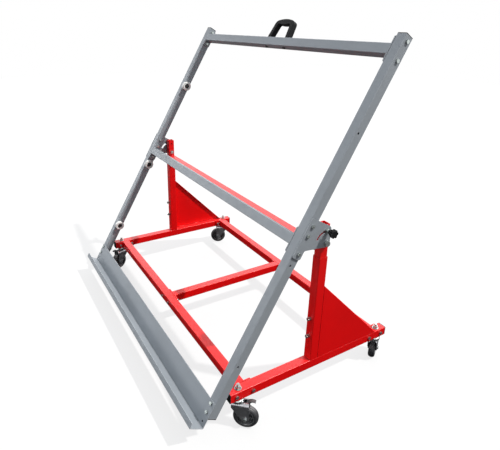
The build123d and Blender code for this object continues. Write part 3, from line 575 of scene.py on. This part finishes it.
def lift_welds(work):
    """Beads above and below each end of the lift's cross beam."""
    low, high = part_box("lift_cross_beam")
    for side in (-1, 1):
        x = side * high.x
        for level, facing in ((high.z, 1), (low.z, -1)):
            start, end = (x, -LIFT_WELD_HALF, level), (x, LIFT_WELD_HALF, level)
            bead(work, start, end, (0, 0, facing), (-side, 0, 0))


def frame_welds(work):
    """Beads along the rails' end plates, above and below each leaning rail."""
    lean = Matrix.Rotation(-REST_TILT, 3, "X")
    across, along = lean @ Vector((0, 1, 0)), lean @ Vector((0, 0, 1))
    for rail in ("top_rail", "middle_rail"):
        mid, _, high = middle(rail)
        for side in (-1, 1):
            plate = Vector((side * (high.x - END_PLATE), mid.y, mid.z))
            for face in (-1, 1):
                corner = plate + along * face * TUBE_HALF
                span = across * (TUBE_HALF - CORNER)
                bead(work, corner - span, corner + span, (-side, 0, 0), along * face)


def make_welds():
    """One piece of beads for each of the three bodies, in the body's paint."""
    for body, slot, draw in (("base", "red_paint", base_welds), ("lift", "red_paint", lift_welds),
                             ("frame", "grey_paint", frame_welds)):
        work = bmesh.new()
        draw(work)
        bmesh.ops.recalc_face_normals(work, faces=work.faces)
        new_piece(f"{body}_welds", work, slot, body)


make_welds()


# Stage: floor, world and lamp

SUN_FROM = Vector((0.437, 0.428, 0.80))
SUN_STRENGTH = 2.95
SUN_ANGLE = 1.6
SUN_COLOUR = (1.0, 0.98, 0.95)
SKY_COLOUR = (0.93, 0.96, 1.0, 1.0)
SKY_STRENGTH = 0.78
SKY_LEAN = (-0.65, 0.10, 0.0)
GLOSS_FRONT = 0.9
GLOSS_REAR = (1.7, 4.9)
GLOSS_ZENITH = 0.15
STRIP_STRENGTH = 4.2
SOFTBOX_FROM = (0.816, -0.480, 0.322)
SOFTBOX_STRENGTH = 3.5
# Where each part of the studio fades, by the direction's X, Y or Z or its nearness to the softbox
REAR_BAND = (-0.1, 0.25)
RISE_BAND = (0.45, 0.52)
FALL_BAND = (0.58, 0.68)
SOFTBOX_BAND = (0.955, 0.985)
STRIP_LOW_BAND = (0.25, 0.45)
STRIP_FRONT_BAND = (-0.3, 0.0)
STRIP_WEST_BAND = (-0.5, 0.0)
FLOOR_HALF = 12.0
FLOOR_ROUGH = 0.9
FLOOR_WHITE = 0.80
FLOOR_BOUNCE = (0.17, 0.03)
FLOOR_BOUNCE_REACH = (-0.45, -0.25)
FLOOR_GLOW = 0.75
FLOOR_GLOSS = (0.03, 0.30)
FLOOR_GLOSS_REACH = (1.2, 3.0)


def make_floor():
    """A pale floor that looks white, keeps the shadow and throws little light up on the object."""
    mesh = bpy.data.meshes.new("floor")
    half = FLOOR_HALF
    corners = [(-half, -half, 0), (half, -half, 0), (half, half, 0), (-half, half, 0)]
    mesh.from_pydata(corners, [], [(0, 1, 2, 3)])
    floor = bpy.data.objects.new("floor", mesh)
    scene.collection.objects.link(floor)
    material = bpy.data.materials.new("floor_white")
    graph = Graph(material)
    shader = graph.tree.nodes["Principled BSDF"]
    shader.inputs["Roughness"].default_value = FLOOR_ROUGH
    shader.inputs["Specular IOR Level"].default_value = 0.0
    light = graph.add("ShaderNodeLightPath")
    camera_ray = light.outputs["Is Camera Ray"]
    axes = graph.add("ShaderNodeSeparateXYZ")
    graph.link(graph.place, axes.inputs["Vector"])
    bounce = graph.map_range(axes.outputs["Y"], FLOOR_BOUNCE_REACH, FLOOR_BOUNCE)
    seen_white = graph.math("MULTIPLY", camera_ray, FLOOR_WHITE)
    graph.link(graph.math("MAXIMUM", seen_white, bounce), shader.inputs["Base Color"])
    glow = graph.add("ShaderNodeEmission")
    glow.inputs["Strength"].default_value = 1.0
    seen = graph.mix_shader(graph.map_range(camera_ray, (0, 1), (0, FLOOR_GLOW)),
                            shader.outputs["BSDF"], glow.outputs["Emission"])
    distance = graph.add("ShaderNodeVectorMath", operation="LENGTH")
    graph.link(graph.place, distance.inputs[0])
    sheen = graph.add("ShaderNodeEmission")
    graph.link(graph.map_range(distance.outputs["Value"], FLOOR_GLOSS_REACH, FLOOR_GLOSS),
               sheen.inputs["Strength"])
    whole = graph.mix_shader(light.outputs["Is Glossy Ray"], seen, sheen.outputs["Emission"])
    graph.link(whole, graph.tree.nodes["Material Output"].inputs["Surface"])
    mesh.materials.append(material)


def make_world():
    """White behind the object, a soft sky for its shade, and a bright studio in its gloss."""
    world = bpy.data.worlds.new("world")
    scene.world = world
    graph = Graph(world)
    toward = graph.toward
    axes = graph.add("ShaderNodeSeparateXYZ")
    graph.link(toward, axes.inputs["Vector"])
    sky = graph.tree.nodes["Background"]
    sky.inputs["Color"].default_value = SKY_COLOUR
    level = graph.math("MULTIPLY", graph.math("ADD", graph.dot(toward, SKY_LEAN), 1.0), SKY_STRENGTH)
    graph.link(level, sky.inputs["Strength"])
    gloss = graph.add("ShaderNodeBackground")
    rear = graph.map_range(axes.outputs["Y"], REAR_BAND, (0.0, 1.0))
    rise = graph.map_range(axes.outputs["Z"], RISE_BAND, GLOSS_REAR)
    fall = graph.map_range(axes.outputs["Z"], FALL_BAND, (1.0, GLOSS_ZENITH))
    behind = graph.math("MULTIPLY", rear, graph.math("MULTIPLY", rise, fall))
    ahead = graph.map_range(rear, (0.0, 1.0), (GLOSS_FRONT, 0.0))
    box = graph.map_range(graph.dot(toward, SOFTBOX_FROM), SOFTBOX_BAND, (0.0, SOFTBOX_STRENGTH))
    low = graph.map_range(axes.outputs["Z"], STRIP_LOW_BAND, (STRIP_STRENGTH, 0.0))
    front = graph.map_range(axes.outputs["Y"], STRIP_FRONT_BAND, (1.0, 0.0))
    west = graph.map_range(axes.outputs["X"], STRIP_WEST_BAND, (1.0, 0.0))
    strip = graph.math("MULTIPLY", low, graph.math("MULTIPLY", front, west))
    around = graph.math("ADD", graph.math("ADD", behind, ahead), graph.math("ADD", box, strip))
    graph.link(around, gloss.inputs["Strength"])
    white = graph.add("ShaderNodeBackground")
    white.inputs["Color"].default_value = (1, 1, 1, 1)
    white.inputs["Strength"].default_value = 1.0
    light = graph.add("ShaderNodeLightPath")
    inner = graph.mix_shader(light.outputs["Is Glossy Ray"], sky.outputs["Background"],
                             gloss.outputs["Background"])
    outer = graph.mix_shader(light.outputs["Is Camera Ray"], inner, white.outputs["Background"])
    graph.link(outer, graph.tree.nodes["World Output"].inputs["Surface"])


def make_lamp(name, toward, strength, angle, colour):
    """A sun that shines from the given direction, its angle in degrees."""
    data = bpy.data.lights.new(name, "SUN")
    data.energy = strength
    data.angle = math.radians(angle)
    data.color = colour
    lamp = bpy.data.objects.new(name, data)
    lamp.rotation_euler = toward.to_track_quat("Z", "Y").to_euler()
    scene.collection.objects.link(lamp)


make_floor()
make_world()
make_lamp("key", SUN_FROM, SUN_STRENGTH, SUN_ANGLE, SUN_COLOUR)
